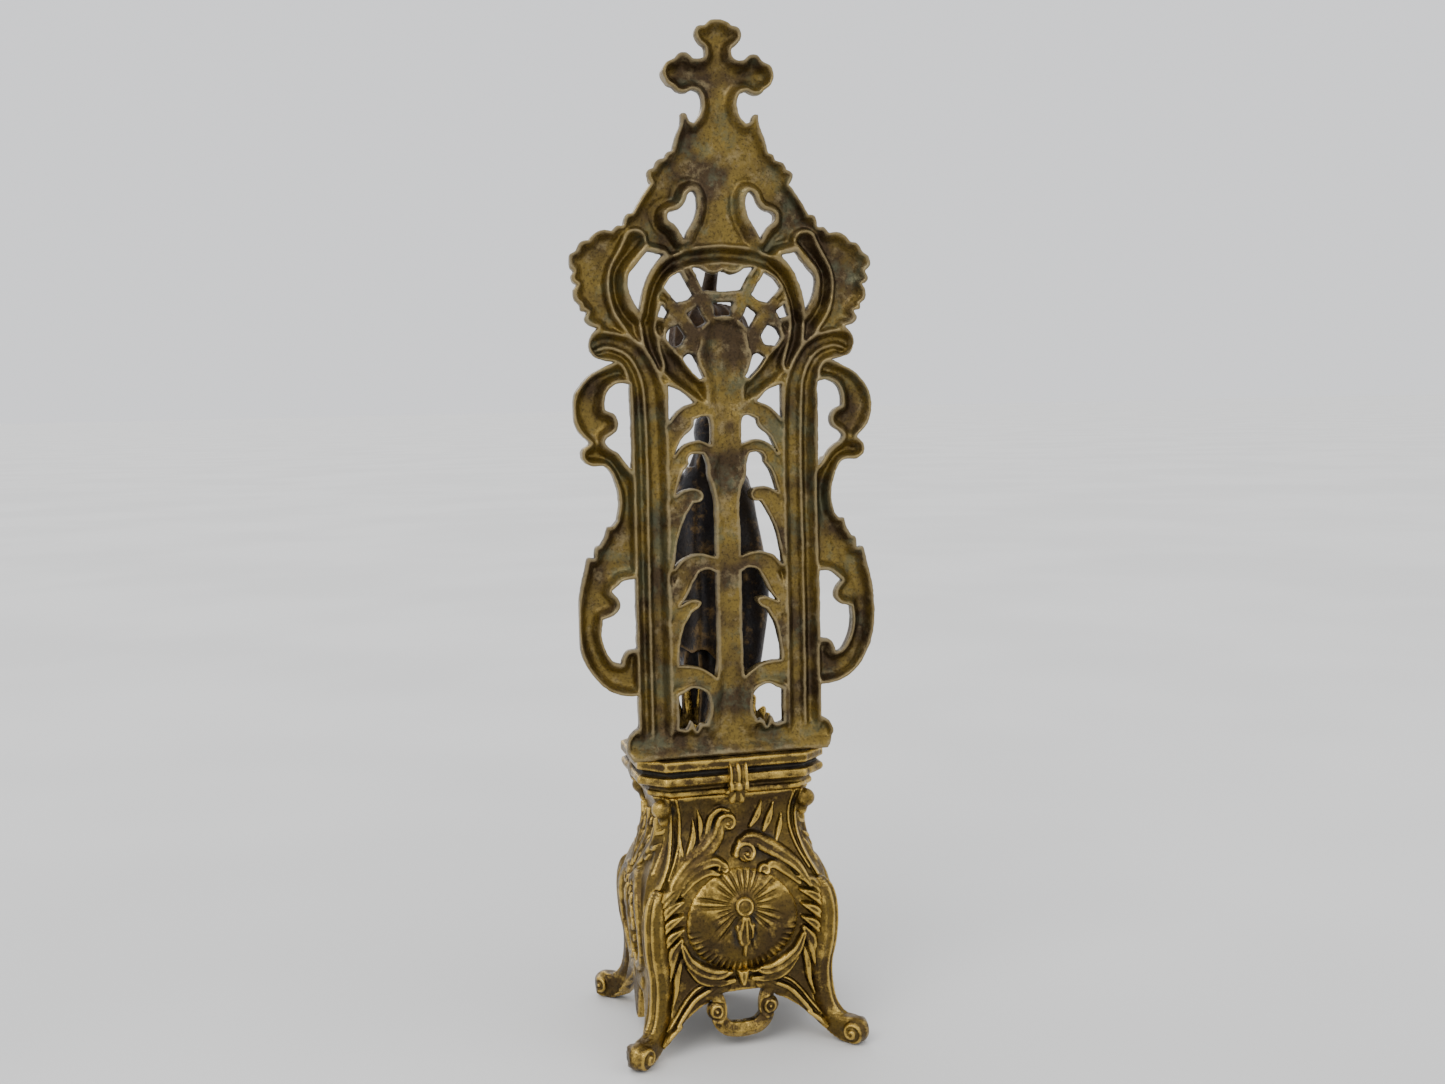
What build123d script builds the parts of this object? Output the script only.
"""Altar cross with a figure in front of an openwork plate, on a four-legged bombe pedestal.

Frame: +Z up, the figure faces -Y, and the origin is on the resting plane under the middle of
the feet. Millimetres. Every casting is its own solid. The cornice carries the plate and the
figure; a tie rod from the figure clamps cornice and pedestal against an iron bar below.
"""
import os

from build123d import *

os.makedirs("parts", exist_ok=True)

# ---- driving dimensions ----
total_height = 360.0
wall = 3.0                      # thickness of the hollow castings

cornice_bottom_z = 91.0
cornice_top_z = 105.0

plate_back_y = 21.6             # plane of the rims on the back of the openwork
plate_depth = 7.6               # from those rims to the front of the openwork
plate_hollow = 5.2              # depth of the channels cast into the back
rim = 1.6                       # width of the rim beside each channel

plate_front_y = plate_back_y - plate_depth
canopy_z, canopy_radius, canopy_rise, canopy_wall = 249.0, 15.4, 16.0, 2.2
canopy_screw_z = (284.5, 292.5)                 # screws that hold the canopy's bracket to the openwork
canopy_pad = 2.2
canopy_screw_radius = 1.2

figure_y = -4.0                 # axis of the figure and of the tie rod
plinth_top_z = 111.0

leg_width = 8.0

rod_radius = 2.5
rod_bottom_z = 33.0
bar_top_z, bar_height, bar_width = 46.0, 4.0, 10.0
washer_thickness, nut_height = 1.2, 4.0

lug_x, lug_y = 22.0, 9.6       # screws through the two foot lugs of the plate
lug_height = 3.0
screw_radius = 1.75


def save(part, name):
    """Labels a finished piece and writes it as its own STEP file."""
    part.label = name
    export_step(part, f"parts/{name}.step")


# ---------------------------------------------------------------- bands in a sketch
def side_points(points, side):
    """The points beside a centre line, at each point's half width, on one side of it."""
    found = []
    for i, (x, z, half) in enumerate(points):
        before = points[max(i - 1, 0)]
        after = points[min(i + 1, len(points) - 1)]
        run = Vector(after[0] - before[0], after[1] - before[1]).normalized()
        found.append(Vector(x - side * run.Y * half, z + side * run.X * half))
    return found


def round_end(point, towards):
    """The outermost point of a band's round end."""
    run = Vector(point[0] - towards[0], point[1] - towards[1]).normalized()
    return Vector(point[0] + run.X * point[2], point[1] + run.Y * point[2])


def band(*points, inset=0.0):
    """A band with round ends inside the current sketch. Each point is (x, z, half width)."""
    points = [(x, z, half - inset) for x, z, half in points]
    left, right = side_points(points, 1), side_points(points, -1)
    edge = Line if len(points) == 2 else Spline
    with BuildLine() as outline:
        edge(*left)
        ThreePointArc(left[-1], round_end(points[-1], points[-2]), right[-1])
        edge(*reversed(right))
        ThreePointArc(right[0], round_end(points[0], points[1]), left[0])
    make_face(outline.edges())


# ---------------------------------------------------------------- openwork plate
# Edge of one half of the plate, from the top of the cross down to the deck, as runs of (x, z)
# points that meet in corners: two points make a straight run and more make a smooth curve.
outline_runs = [
    [(0, 360), (3, 359.2), (4.4, 358)],
    [
        (4.4, 358), (7.2, 357.2), (8, 354.6), (6.6, 351.8),
        (4.6, 350.2), (4.7, 347.6), (6, 346.6), (8.8, 346.6),
    ],
    [(8.8, 346.6), (10.8, 348.4), (13.4, 348.4), (15.6, 346.2)],
    [(15.6, 346.2), (18.4, 344.8), (19.4, 341.4), (18, 338.2), (16.2, 337)],
    [(16.2, 337), (14.6, 335.4), (12, 335), (9.2, 336.2)],
    [(9.2, 336.2), (7, 335.2), (6, 332), (6.8, 328), (9, 325.2)],
    [(9, 325.2), (10.6, 325.8), (11.6, 328.2), (13.6, 328.4)],
    [(13.6, 328.4), (13.6, 325.4), (15.6, 320), (16.8, 315.6)],
    [(16.8, 315.6), (18.6, 315), (19.4, 313.2)],
    [(19.4, 313.2), (22.2, 312.2), (23.2, 310)],
    [(23.2, 310), (25.4, 308.8), (25.2, 306.2), (24.2, 304.8)],
    [(24.2, 304.8), (28, 299.6), (31, 294.6)],
    [(31, 294.6), (33, 294.4), (34, 292.4)],
    [(34, 292.4), (34.4, 290.6), (36.6, 290.4), (38.4, 288.6)],
    [(38.4, 288.6), (41, 289), (44, 288), (46.2, 285.6)],
    [(46.2, 285.6), (48.8, 285), (50.6, 282)],
    [(50.6, 282), (53, 280.6), (53.6, 277.4), (51.6, 275.2)],
    [(51.6, 275.2), (52.6, 273.2), (51.8, 271.2), (50.4, 270.8)],
    [(50.4, 270.8), (51.8, 268.6), (51.6, 265.6), (49.6, 263.8)],
    [(49.6, 263.8), (49.6, 262), (47.4, 261.4)],
    [(47.4, 261.4), (48.4, 259), (46.8, 257), (44, 256)],
    [(44, 256), (46.4, 253.4), (47.2, 249.8), (45.4, 246.4), (42, 245), (38.8, 244.4)],
    [(38.8, 244.4), (43, 242.4), (48, 239.4), (52.4, 233.6), (53.4, 227), (51.8, 221.4), (47.6, 217)],
    [
        (47.6, 217), (50.2, 214.8), (50.4, 211.4), (47.6, 209.2),
        (42.6, 208.8), (39.4, 203.6), (38, 197), (39, 190.2),
    ],
    [(39, 190.2), (40.8, 188.2), (42.6, 188.2)],
    [(42.6, 188.2), (43.6, 184.6), (45.4, 181.8)],
    [(45.4, 181.8), (46.8, 181.4), (47.4, 177.4)],
    [(47.4, 177.4), (49.6, 177.6), (50.8, 173.6)],
    [
        (50.8, 173.6), (52.8, 165), (53.8, 156), (53.4, 147.4), (50.8, 139.6), (45.6, 132.6), (39.6, 129.2),
        (33.2, 128.4),
    ],
    [(33.2, 128.4), (33.2, 117)],
    [(33.2, 117), (35.4, 115.6), (37.4, 112.4), (37.2, 108.4), (35.4, 105)],
]

# Openings of one half, each as runs round its edge.
comma_opening = [
    [(8.6, 300.5), (9.8, 302.2), (11.6, 301.3), (12.4, 298.8), (14.6, 296.2), (17.6, 295.4), (18.9, 294.6)],
    [(18.9, 294.6), (18.8, 292.6), (16.6, 290.8), (14.8, 288.6), (13.4, 286.2)],
    [(13.4, 286.2), (11.6, 289.6), (9.6, 293), (8.5, 297), (8.6, 300.5)],
]
slanted_opening = [
    [(21, 280.7), (26.3, 281.9)],
    [(26.3, 281.9), (29.3, 278), (32.6, 274.2), (33, 270), (31.6, 265.4), (29.4, 261.8)],
    [(29.4, 261.8), (28.6, 266), (27.2, 271), (24.6, 276.4), (21, 280.7)],
]
fan_cells = [
    [
        [(8.8, 263.2), (12.2, 260.6)], [(12.2, 260.6), (9.2, 256)],
        [(9.2, 256), (6, 257.8)], [(6, 257.8), (8.8, 263.2)],
    ],
    [
        [(16, 256.6), (13.4, 253)], [(13.4, 253), (15, 250.2), (18.6, 249.6)], [(18.6, 249.6), (20.4, 252.4)],
        [(20.4, 252.4), (18.8, 255.4), (16, 256.6)],
    ],
    [
        [(14.8, 275), (18.4, 272.8), (20.6, 269.6)], [(20.6, 269.6), (16, 264.6)],
        [(16, 264.6), (13, 265.4), (10.4, 267.2)], [(10.4, 267.2), (14.8, 275)],
    ],
    [
        [(21.6, 263.8), (19.2, 261.4)], [(19.2, 261.4), (20.6, 259.2)],
        [(20.6, 259.2), (23, 259.8)], [(23, 259.8), (21.6, 263.8)],
    ],
    [
        [(10.8, 246.4), (12.4, 246.8), (14.6, 245.2)], [(14.6, 245.2), (12, 241.4), (8.6, 238)],
        [(8.6, 238), (7.2, 238.8)], [(7.2, 238.8), (8.9, 242.6), (10.8, 246.4)],
    ],
    [
        [(20, 236), (15.2, 234), (11, 230.2)],
        [(11, 230.2), (14.5, 229), (17, 227.4), (20, 224)],
        [(20, 224), (20, 236)],
    ],
]
leaf_gaps = [
    [
        [(5.2, 222.5), (6, 225), (8, 225.4), (11, 224.2)],
        [(11, 224.2), (11.6, 221.6), (15.4, 218), (18.6, 211.8)],
        [(18.6, 211.8), (16, 215), (12.6, 216.7), (9.5, 217), (5.3, 215.4)], [(5.3, 215.4), (5.2, 222.5)],
    ],
    [
        [(4.4, 176.2), (4.3, 186), (4.2, 195), (5, 200), (6.8, 204.5), (7, 209), (8.2, 212.2)],
        [(8.2, 212.2), (12, 212.4), (13.6, 210.4), (13.2, 209)], [(13.2, 209), (16, 205.6), (18.4, 198)],
        [(18.4, 198), (15.5, 199.8), (12, 200.4), (9.2, 199.6), (8.2, 197.6), (9.4, 195.6), (12, 195.2)],
        [(12, 195.2), (14.6, 191), (17.2, 185), (18.8, 178), (19.4, 172.8)],
        [(19.4, 172.8), (16.4, 175.8), (12.6, 177.4), (9, 177.4), (4.4, 176.2)],
    ],
    [
        [(4.8, 133.2), (4.4, 140), (4.3, 170.4)],
        [(4.3, 170.4), (7, 171.8), (10, 171.2), (12, 168.6), (14.6, 163.4), (17.6, 159.4)],
        [(17.6, 159.4), (15, 160.8), (12, 161.4), (9.9, 160.4), (10.8, 158.4), (13.6, 156.8)],
        [(13.6, 156.8), (16.4, 151.6), (18, 145), (18.4, 138.2)],
        [(18.4, 138.2), (14, 137.9), (10, 136.8), (4.8, 133.2)],
    ],
    [
        [(7.6, 124.6), (8.4, 127.4), (10.8, 129.2), (14, 129.9), (16, 128.7), (18.8, 127.4)],
        [(18.8, 127.4), (18.8, 116)],
        [(18.8, 116), (16.2, 115.4), (14.4, 118.4)], [(14.4, 118.4), (12.6, 114.6)],
        [(12.6, 114.6), (11, 117.2), (9.2, 117)], [(9.2, 117), (7.6, 120.6), (7.6, 124.6)],
    ],
]
side_gaps = [
    [
        [(33.4, 236.8), (37, 237.2), (40.8, 235), (42.2, 231.6), (42.2, 228.2)],
        [(42.2, 228.2), (39.2, 226.8), (37.9, 224), (38.6, 221), (41.6, 218.8)],
        [(41.6, 218.8), (42.6, 217.4), (41.4, 215.6)], [(41.4, 215.6), (37.8, 213), (35, 209), (33.4, 207)],
        [(33.4, 207), (33.4, 236.8)],
    ],
    [
        [(33.2, 169.6), (37, 169.2), (41.6, 165.8)],
        [(41.6, 165.8), (39.4, 163.2), (38.8, 160), (40.8, 157.4), (45, 156)],
        [(45, 156), (45.4, 150), (44, 144.8), (41.4, 141), (38.9, 140)],
        [(38.9, 140), (38.2, 142.6), (36.6, 144.6), (33.2, 145.2)], [(33.2, 145.2), (33.2, 169.6)],
    ],
]
half_openings = [comma_opening, slanted_opening] + fan_cells + leaf_gaps + side_gaps

# Openings that cross the middle line.
middle_openings = [
    [
        [(3.2, 264.6), (-3.2, 264.6)], [(-3.2, 264.6), (-2.4, 260)],
        [(-2.4, 260), (2.4, 260)], [(2.4, 260), (3.2, 264.6)],
    ],
    [
        [(10.8, 276.4), (8.6, 273), (6.6, 268.9)], [(6.6, 268.9), (0, 268.4), (-6.6, 268.9)],
        [(-6.6, 268.9), (-8.6, 273), (-10.8, 276.4)], [(-10.8, 276.4), (-7.6, 276), (-6, 274.8)],
        [(-6, 274.8), (-3.4, 274), (-0.6, 275.8)], [(-0.6, 275.8), (2.6, 274), (5.4, 274.8)],
        [(5.4, 274.8), (7.8, 276.2), (10.8, 276.4)],
    ],
]

# The fan behind the figure's head is a thinner web, set back from both sides.
fan_centre_z, fan_radius_x, fan_radius_z = 258.0, 21.6, 17.4
fan_back, fan_front = 1.4, 3.2


def closed_face(runs, faceted=False):
    """The face inside a closed chain of runs, in the current sketch; faceted draws no curves."""
    with BuildLine() as chain:
        for run in runs:
            edge = Polyline if faceted or len(run) == 2 else Spline
            edge(*run)
    make_face(chain.edges())


def plate_silhouette(faceted=False):
    """The whole plate without its openings, in the current sketch."""
    foot = outline_runs[-1][-1]
    middle = [[foot, (0, foot[1])], [(0, foot[1]), outline_runs[0][0]]]
    closed_face(outline_runs + middle, faceted)
    mirror(about=Plane.YZ)


def opening(runs, wider):
    """One opening as a sketch of its own, wider all round by the given amount."""
    with BuildSketch() as hole:
        closed_face(runs, faceted=wider > 0)
        if wider:
            offset(amount=wider, mode=Mode.REPLACE)
    return hole.sketch


def all_openings(wider=0.0):
    """Sketches of every opening of the plate."""
    half = [opening(runs, wider) for runs in half_openings]
    other_half = [hole.mirror(Plane.YZ) for hole in half]
    return half + other_half + [opening(runs, wider) for runs in middle_openings]


plate_openings = all_openings()
rimmed_openings = all_openings(wider=rim)

with BuildPart() as back_plate:
    back_plane = Plane.XZ.offset(-plate_back_y)
    with BuildSketch(back_plane):
        plate_silhouette()
        add(plate_openings, mode=Mode.SUBTRACT)
    extrude(amount=plate_depth)
    with BuildSketch(back_plane):
        plate_silhouette(faceted=True)
        offset(amount=-rim, mode=Mode.REPLACE)
        add(rimmed_openings, mode=Mode.SUBTRACT)
        with Locations((0, fan_centre_z)):
            Ellipse(fan_radius_x, fan_radius_z, mode=Mode.SUBTRACT)
    extrude(amount=plate_hollow, mode=Mode.SUBTRACT)
    for plane, depth in ((back_plane, fan_back), (Plane.XZ.offset(-plate_front_y), -fan_front)):
        with BuildSketch(plane):
            with Locations((0, fan_centre_z)):
                Ellipse(fan_radius_x, fan_radius_z)
        extrude(amount=depth, mode=Mode.SUBTRACT)
    with BuildSketch(Plane.XY.offset(cornice_top_z)):
        for side in (1, -1):
            with Locations((side * lug_x, (lug_y + plate_front_y) / 2)):
                Rectangle(9, plate_front_y - lug_y + 8)
    extrude(amount=lug_height)
    lug_middle_z = cornice_top_z + lug_height / 2
    with Locations((lug_x, lug_y, lug_middle_z), (-lug_x, lug_y, lug_middle_z)):
        Cylinder(screw_radius + 0.1, 2 * lug_height, mode=Mode.SUBTRACT)
    with BuildSketch(Plane.XZ.offset(-plate_front_y + 1)):
        for z in canopy_screw_z:
            with Locations((0, z)):
                Circle(canopy_screw_radius + 0.1)
    extrude(amount=-plate_depth - 1, mode=Mode.SUBTRACT)

save(back_plate.part, "back_plate")


# ---------------------------------------------------------------- pedestal
# Sections of the bombe form, feet included: (z, half width in x, half depth in y, canted corner).
body_sections = [
    (0, 40.0, 35.6, 10.0),
    (4, 37.4, 32.4, 9.0),
    (10, 34.8, 28.8, 8.0),
    (16, 33.4, 26.8, 7.4),
    (24, 32.8, 25.9, 7.0),
    (34, 33.2, 26.4, 6.8),
    (44, 34.2, 27.4, 6.6),
    (52, 34.5, 27.6, 6.6),
    (60, 33.0, 25.8, 6.6),
    (67, 30.0, 22.6, 6.4),
    (74, 27.0, 19.4, 6.0),
    (81, 26.0, 18.2, 5.6),
    (86, 27.0, 19.0, 5.8),
    (91, 29.0, 21.0, 6.0),
]
body_bottom_z = 22.0            # the body ends here and the legs go on below


def canted_rectangle(half_x, half_y, cant):
    """A rectangle with canted corners inside the current sketch."""
    Rectangle(2 * half_x, 2 * half_y)
    corners = [(half_x, half_y), (-half_x, half_y), (-half_x, -half_y), (half_x, -half_y)]
    for x, y in corners:
        with Locations((x, y)):
            Rectangle(cant * 2**0.5, cant * 2**0.5, rotation=45, mode=Mode.SUBTRACT)


def bombe(grow, top=0.0):
    """The closed bombe form, `grow` outside its drawn surface, with its upper end moved by top."""
    last = len(body_sections) - 1
    with BuildPart() as form:
        for i, (z, half_x, half_y, cant) in enumerate(body_sections):
            with BuildSketch(Plane.XY.offset(z + (top if i == last else 0))):
                canted_rectangle(half_x + grow, half_y + grow, cant + 0.59 * grow)
        loft()
    return form.part


body_outside = bombe(0)
body_inside = bombe(-wall, top=-wall)
trim_outside = bombe(1.4)       # the skin that applied ornament reaches to

leg_shift = 2.4                 # the legs' vertical planes pass this far beside the middle in x
leg_screw_z = 42.0              # height of the screw that holds each leg
leg_screw_start, leg_boss_start, leg_screw_end = 31.6, 33.6, 43.4
ledge_x = 27.5                  # ledges that the clamp bar bears on
corners = {"back_left": (1, 1), "back_right": (-1, 1), "front_left": (-1, -1), "front_right": (1, -1)}


def corner_plane(x_side, y_side):
    """Vertical plane of one leg: its x runs outwards over the corner and its y upwards."""
    outwards = Vector(x_side, y_side, 0).normalized()
    start = (x_side * leg_shift, -y_side * leg_shift, 0)
    return Plane(origin=start, x_dir=outwards, z_dir=outwards.cross(Vector(0, 0, 1)))


def leg_screw_plane(x_side, y_side, reach):
    """Plane across the leg screw's axis, `reach` out from the leg plane's start, facing out."""
    outwards = Vector(x_side, y_side, 0).normalized()
    start = Vector(x_side * leg_shift, -y_side * leg_shift, leg_screw_z) + outwards * reach
    return Plane(origin=start, z_dir=outwards)


# Apron between the legs on the long and the short faces: (x, z, half width), mirrored about the middle.
apron_half_x, apron_half_y = 11.8, 9.0
apron_bands = [
    [(15, 19.6, 2.4), (9, 22, 2)],
    [(11, 20, 1.8), (11.6, 16, 2.4), (10.8, 12.4, 2.4), (8.2, 8.2, 2.3), (4.6, 5.4, 2.4), (0, 4.6, 2.5)],
]
side_apron_bands = [
    [(12, 20.6, 3), (0, 20.6, 4)],
    [(0, 19, 5), (0, 13, 4.6), (0, 8, 3), (0, 5.4, 1.8)],
]

with BuildPart() as pedestal_body:
    add(body_outside)
    add(body_inside, mode=Mode.SUBTRACT)
    with Locations((0, 0, body_bottom_z - 50)):
        Box(200, 200, 100, mode=Mode.SUBTRACT)
    aprons = ((Plane.XZ, 26.4, apron_half_x, apron_bands), (Plane.YZ, 33.2, apron_half_y, side_apron_bands))
    for plane, depth, half, bands in aprons:
        for side in (1, -1):
            with BuildSketch(plane.offset(side * (depth - wall))):
                for points in bands:
                    band(*points)
                mirror(about=Plane.YZ)
                Rectangle(2 * half, 60, mode=Mode.INTERSECT)
            extrude(amount=side * wall)
    for side in (1, -1):
        with Locations((side * ledge_x, figure_y, bar_top_z + 2)):
            Box(10, bar_width + 3, 4)
    with Locations((0, figure_y, 88)):
        Cylinder(rod_radius + 0.1, 20, mode=Mode.SUBTRACT)
    for x_side, y_side in corners.values():
        with BuildSketch(leg_screw_plane(x_side, y_side, leg_boss_start)):
            Circle(4)
        extrude(amount=3.6)
        with BuildSketch(leg_screw_plane(x_side, y_side, leg_screw_start)):
            Circle(screw_radius + 0.1)
        extrude(amount=14, mode=Mode.SUBTRACT)

save(pedestal_body.part, "pedestal_body")


# ---------------------------------------------------------------- legs
# A leg is a corner of the bombe shell, cut by an arch on each face, with a rounded rib over the
# corner that runs down into a scrolled foot.
long_arch = [(37, 0), (33, 2), (29, 5), (25, 9), (21, 12.6), (15, 16.4), (12, 17.8), (12, 22)]
short_arch = [(31.5, 0), (27.5, 2), (23.5, 5), (19.6, 9), (15.6, 12.6), (11.2, 16.4), (9.2, 17.8), (9.2, 22)]
leg_outer = [
    (39.6, 59.6), (43, 57), (45, 52), (45.6, 45), (44.8, 36), (43, 28), (43.2, 20), (45.4, 12.6), (49.4, 8.6),
]
foot_centre, foot_radius = (53.4, 4.0), 4.0
leg_inner = [(50.6, 0), (44.6, 2.2), (40, 6.4), (37, 13), (35.4, 22)]


def arch_prism(plane, points):
    """Everything between the two legs under one pair of faces."""
    with BuildPart() as prism:
        with BuildSketch(plane):
            with BuildLine():
                Polyline((0, -1), (points[0][0], -1), points[0])
                Spline(*points[:-1])
                Polyline(points[-2], points[-1], (0, points[-1][1] + 1), (0, -1))
            make_face()
            mirror(about=Plane.YZ)
        extrude(amount=60, both=True)
    return prism.part


with BuildPart() as body_upper:
    add(body_outside)
    with Locations((0, 0, body_bottom_z / 2)):
        Box(200, 200, body_bottom_z, mode=Mode.SUBTRACT)

with BuildPart() as leg_shell:
    add(body_outside)
    add(body_inside, mode=Mode.SUBTRACT)
    with Locations((0, 0, body_bottom_z / 2)):
        Box(200, 200, body_bottom_z, mode=Mode.INTERSECT)
    add(arch_prism(Plane.XZ, long_arch), mode=Mode.SUBTRACT)
    add(arch_prism(Plane.YZ, short_arch), mode=Mode.SUBTRACT)


def leg(x_side, y_side):
    """One corner leg with its rib and foot."""
    with BuildPart() as made:
        with BuildSketch(corner_plane(x_side, y_side)):
            with BuildLine():
                Spline(*leg_outer)
                Line(leg_outer[-1], (foot_centre[0], 7))
                Polyline((foot_centre[0], 7), (foot_centre[0], 0), leg_inner[0])
                Spline(*leg_inner)
                Polyline(leg_inner[-1], (35, 34), (35, 59.6), leg_outer[0])
            make_face()
            with Locations(foot_centre):
                Circle(foot_radius)
        extrude(amount=leg_width / 2, both=True)
        add(leg_shell.part)
        add(body_upper.part, mode=Mode.SUBTRACT)
        with Locations((x_side * 50, y_side * 50, 30)):
            Box(100, 100, 100, mode=Mode.INTERSECT)
        with BuildSketch(leg_screw_plane(x_side, y_side, leg_screw_start)):
            Circle(screw_radius + 0.1)
        extrude(amount=leg_screw_end - leg_screw_start, mode=Mode.SUBTRACT)
    return made.part


for corner, (x_side, y_side) in corners.items():
    save(leg(x_side, y_side), f"leg_{corner}")

with BuildPart() as leg_screws:
    for x_side, y_side in corners.values():
        with BuildSketch(leg_screw_plane(x_side, y_side, leg_screw_start)):
            Circle(screw_radius)
        extrude(amount=leg_screw_end - leg_screw_start - 0.6)
        with BuildSketch(leg_screw_plane(x_side, y_side, leg_screw_start)):
            Circle(3.4)
        extrude(amount=leg_boss_start - leg_screw_start)

save(leg_screws.part, "leg_screws")


# ---------------------------------------------------------------- medallions
medallion_z, medallion_half_x, medallion_half_z = 46.5, 20.5, 18.5
host_z, host_radius = 53.0, 3.9


def medallion(side):
    """Oval sunburst with a host above a cup, fitted to the bulging face on one side."""
    toward = Plane.XZ.offset(-side * 18)
    with BuildPart() as made:
        with BuildSketch(toward):
            with Locations((0, medallion_z)):
                Ellipse(medallion_half_x, medallion_half_z)
        extrude(amount=-side * 16)
        add(trim_outside, mode=Mode.INTERSECT)
        with BuildSketch(toward):
            with Locations((0, host_z)):
                Circle(host_radius)
            band((0, 36.4, 4.4), (0, 37.6, 2.4))
            band((0, 38, 1.4), (0, 42, 1.8))
            band((0, 43.6, 3), (0, 46, 3.8))
        extrude(amount=-side * 11.8)
        add(body_outside, mode=Mode.SUBTRACT)
    return made.part


save(medallion(1), "medallion_back")
save(medallion(-1), "medallion_front")


# ---------------------------------------------------------------- cornice
# Steps of the cornice from below: (bottom, top, half width, half depth, cant).
cornice_steps = [
    (91.0, 93.6, 29.6, 22.0, 6.4),
    (93.6, 95.6, 31.4, 23.2, 6.6),
    (95.6, 99.4, 34.0, 25.2, 7.0),
    (99.4, 101.2, 33.0, 24.4, 7.0),
    (101.2, 105.0, 34.6, 25.0, 7.1),
]
deck_thickness = 3.4

with BuildPart() as cornice:
    for bottom, top, half_x, half_y, cant in cornice_steps:
        with BuildSketch(Plane.XY.offset(bottom)):
            canted_rectangle(half_x, half_y, cant)
        extrude(amount=top - bottom)
    with BuildSketch(Plane.XY.offset(cornice_bottom_z)):
        canted_rectangle(26, 18, 4.8)
    extrude(amount=cornice_top_z - deck_thickness - cornice_bottom_z, mode=Mode.SUBTRACT)
    with Locations((0, figure_y, cornice_top_z)):
        Cylinder(rod_radius + 0.1, 4 * deck_thickness, mode=Mode.SUBTRACT)
    with Locations((lug_x, lug_y, cornice_top_z), (-lug_x, lug_y, cornice_top_z)):
        Cylinder(screw_radius + 0.1, 4 * deck_thickness, mode=Mode.SUBTRACT)

save(cornice.part, "cornice")


def clasp(side):
    """Small keystone roll over the middle of the cornice."""
    with BuildPart() as made:
        with BuildSketch(Plane.YZ.offset(-2.6)):
            with BuildLine():
                Polyline((side * 20, 92), (side * 24.5, 92))
                Spline(
                    (side * 24.5, 92), (side * 26.6, 94.6), (side * 27.8, 98),
                    (side * 27.2, 101), (side * 24.8, 102),
                )
                Polyline((side * 24.8, 102), (side * 20, 102), (side * 20, 92))
            make_face()
        extrude(amount=5.2)
        add(cornice.part, mode=Mode.SUBTRACT)
        with Locations((0, side * 20, 97)):
            Box(12, 8, 30, mode=Mode.SUBTRACT)
    return made.part


save(clasp(1), "clasp_back")
save(clasp(-1), "clasp_front")

with BuildPart() as plate_screws:
    for side in (1, -1):
        with BuildSketch(Plane.XY.offset(cornice_top_z - deck_thickness)):
            with Locations((side * lug_x, lug_y)):
                Circle(screw_radius)
        extrude(amount=deck_thickness + lug_height)
        with BuildSketch(Plane.XY.offset(cornice_top_z + lug_height)):
            with Locations((side * lug_x, lug_y)):
                Circle(3.2)
        extrude(amount=1.8)

save(plate_screws.part, "plate_screws")


# ---------------------------------------------------------------- figure and its plinth
rod_top_z = 134.0

with BuildPart() as figure_plinth:
    with BuildSketch(Plane.XY.offset(cornice_top_z)):
        with Locations((0, figure_y)):
            Ellipse(16.4, 12.6)
    extrude(amount=2.4)
    with BuildSketch(Plane.XY.offset(cornice_top_z + 2.4)):
        with Locations((0, figure_y)):
            Ellipse(15, 11.4)
    extrude(amount=plinth_top_z - cornice_top_z - 2.4)
    with Locations((0, figure_y, plinth_top_z)):
        Cylinder(rod_radius + 0.1, 20, mode=Mode.SUBTRACT)

save(figure_plinth.part, "figure_plinth")

# Sections of the robed figure: (z, half width, half depth, shift of the middle in y).
figure_sections = [
    (111, 13.4, 10.4, 0),
    (124, 12.2, 9.6, 0),
    (142, 12.8, 10.2, 0),
    (165, 15.4, 11, 0),
    (182, 14.4, 10, 0),
    (196, 12.6, 8.4, 0.3),
    (204, 10.2, 6.8, 0.8),
    (208.6, 4.4, 4.2, 1),
]
head_z, head_radius = 218.4, 6.6

with BuildPart() as figure:
    for z, half_x, half_y, shift in figure_sections:
        with BuildSketch(Plane.XY.offset(z)):
            with Locations((0, figure_y + shift)):
                Ellipse(half_x, half_y)
    loft()
    with Locations((0, figure_y + 0.4, head_z - 8.4)):
        Cylinder(3.6, 10)
    with Locations((0, figure_y, head_z)):
        Sphere(head_radius)
    with Locations((0, figure_y + 1, head_z + 3)):
        Sphere(head_radius)
    for side in (1, -1):
        with BuildSketch(Plane(origin=(side * 10.5, figure_y - 2, 186), z_dir=(-side * 9, -9.4, 4.4))):
            Circle(3.6)
        with BuildSketch(Plane(origin=(side * 1.4, figure_y - 11.4, 190.4), z_dir=(-side * 9, -9.4, 4.4))):
            Circle(2.4)
        loft()
    with Locations(Location((0, figure_y - 11.6, 194), (-12, 0, 0))):
        Cylinder(2.2, 10)
    with Locations((0, figure_y, plinth_top_z)):
        Cylinder(rod_radius + 0.1, 2 * (rod_top_z - plinth_top_z), mode=Mode.SUBTRACT)

save(figure.part, "figure")


# ---------------------------------------------------------------- canopy
# A small dome over the head, hung from a curved bracket on the front of the openwork.
dome_outline = [(canopy_radius, 0), (15.0, 4), (13.4, 8), (10.2, 12), (5.6, 15), (0, canopy_rise)]
dome_outline = [(x, canopy_z + z) for x, z in dome_outline]
bracket_path = [(figure_y, 264), (figure_y + 0.4, 270), (figure_y + 5, 275.6), (plate_front_y - 1, 279.4)]

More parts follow.
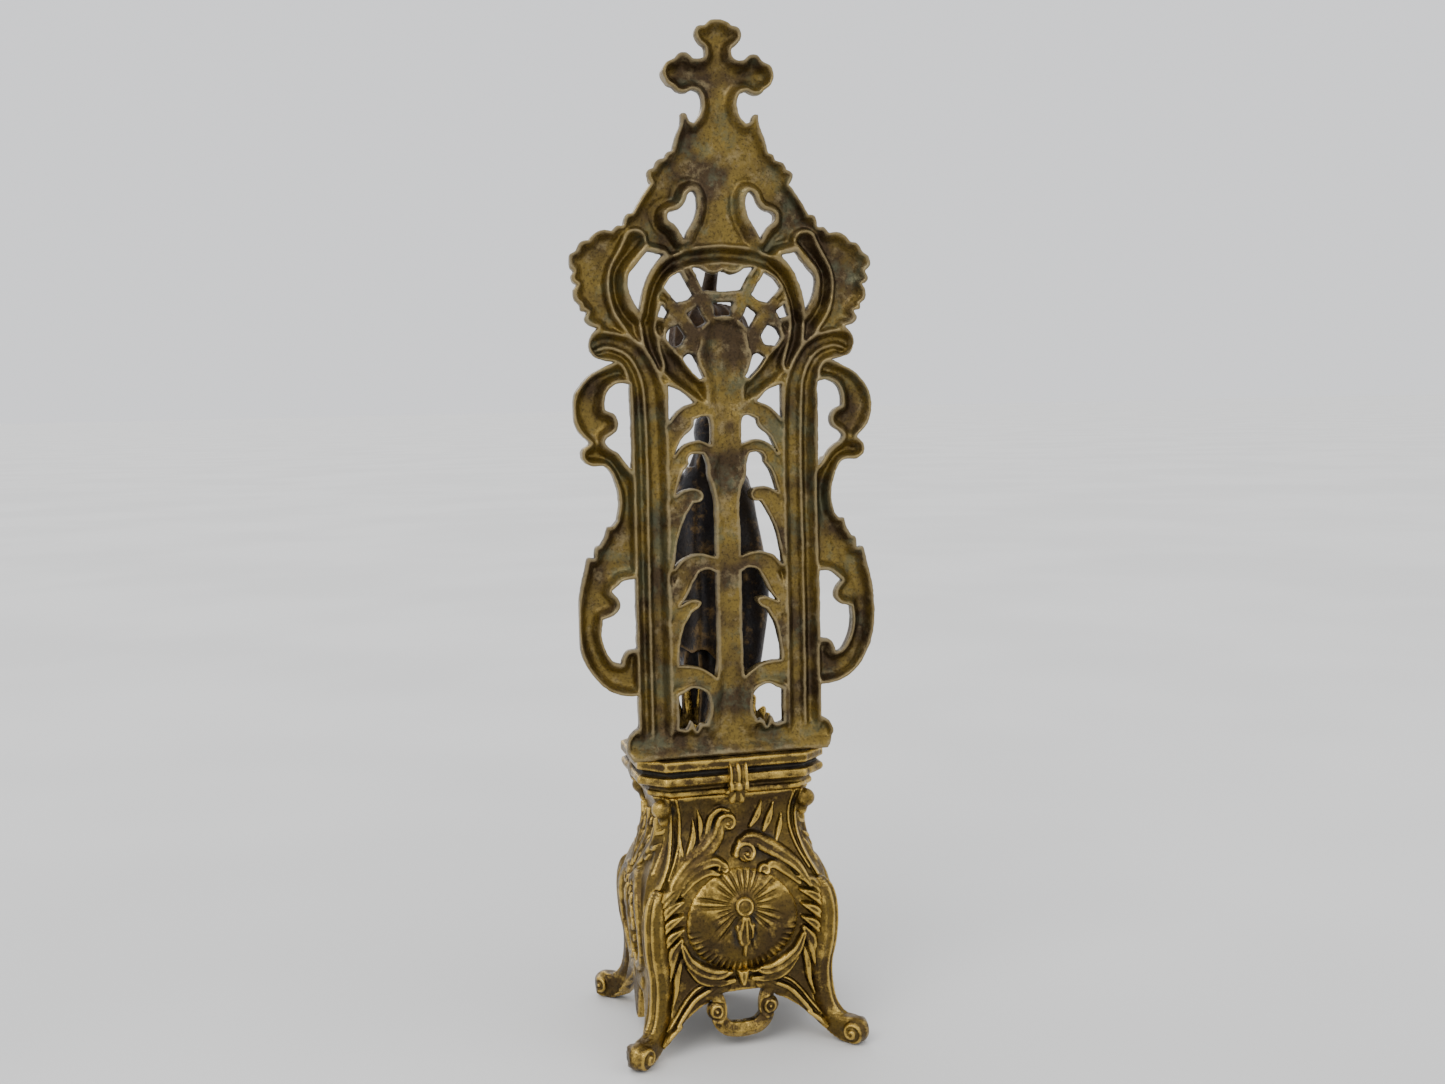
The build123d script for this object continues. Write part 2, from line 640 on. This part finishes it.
with BuildPart() as canopy:
    with BuildSketch(Plane.XZ.offset(-figure_y)):
        with BuildLine():
            Spline(*dome_outline)
            Polyline(dome_outline[-1], (0, canopy_z), dome_outline[0])
        make_face()
    revolve(axis=Axis((0, figure_y, 0), (0, 0, 1)))
    with Locations((0, figure_y, canopy_z)):
        Sphere(canopy_radius - canopy_wall, mode=Mode.SUBTRACT)
    with BuildSketch(Plane.YZ.offset(-3)):
        band(*[(y, z, half) for (y, z), half in zip(bracket_path, (2.4, 2.2, 2.2, 1.6))])
        with Locations((plate_front_y - canopy_pad / 2, (canopy_screw_z[0] + canopy_screw_z[1]) / 2 - 1)):
            Rectangle(canopy_pad, 20)
        with Locations((plate_front_y + 10, 280)):
            Rectangle(20, 60, mode=Mode.SUBTRACT)
        with Locations((figure_y, canopy_z + 3)):
            Rectangle(60, 20, mode=Mode.SUBTRACT)
    extrude(amount=6)
    with BuildSketch(Plane.XZ.offset(-plate_front_y)):
        for z in canopy_screw_z:
            with Locations((0, z)):
                Circle(canopy_screw_radius + 0.1)
    extrude(amount=5, mode=Mode.SUBTRACT)

save(canopy.part, "canopy")

with BuildPart() as canopy_screws:
    for z in canopy_screw_z:
        with BuildSketch(Plane.XZ.offset(-plate_front_y - (plate_depth - plate_hollow))):
            with Locations((0, z)):
                Circle(canopy_screw_radius)
        extrude(amount=plate_depth - plate_hollow + canopy_pad)
        with BuildSketch(Plane.XZ.offset(-plate_front_y + canopy_pad)):
            with Locations((0, z)):
                Circle(2.3)
        extrude(amount=1.5)

save(canopy_screws.part, "canopy_screws")


# ---------------------------------------------------------------- clamp under the pedestal
with BuildPart() as tie_rod:
    with BuildSketch(Plane.XY.offset(rod_bottom_z)):
        with Locations((0, figure_y)):
            Circle(rod_radius)
    extrude(amount=rod_top_z - rod_bottom_z)

save(tie_rod.part, "tie_rod")

with BuildPart() as clamp_bar:
    with Locations((0, figure_y, bar_top_z - bar_height / 2)):
        Box(2 * ledge_x - 0.6, bar_width, bar_height)
        Cylinder(rod_radius + 0.1, 4 * bar_height, mode=Mode.SUBTRACT)

save(clamp_bar.part, "clamp_bar")

washer_bottom_z = bar_top_z - bar_height - washer_thickness

with BuildPart() as clamp_washer:
    with BuildSketch(Plane.XY.offset(washer_bottom_z)):
        with Locations((0, figure_y)):
            Circle(6)
            Circle(rod_radius + 0.1, mode=Mode.SUBTRACT)
    extrude(amount=washer_thickness)

save(clamp_washer.part, "clamp_washer")

with BuildPart() as clamp_nut:
    with BuildSketch(Plane.XY.offset(washer_bottom_z - nut_height)):
        with Locations((0, figure_y)):
            RegularPolygon(4.8, 6)
            Circle(rod_radius + 0.02, mode=Mode.SUBTRACT)
    extrude(amount=nut_height)

save(clamp_nut.part, "clamp_nut")
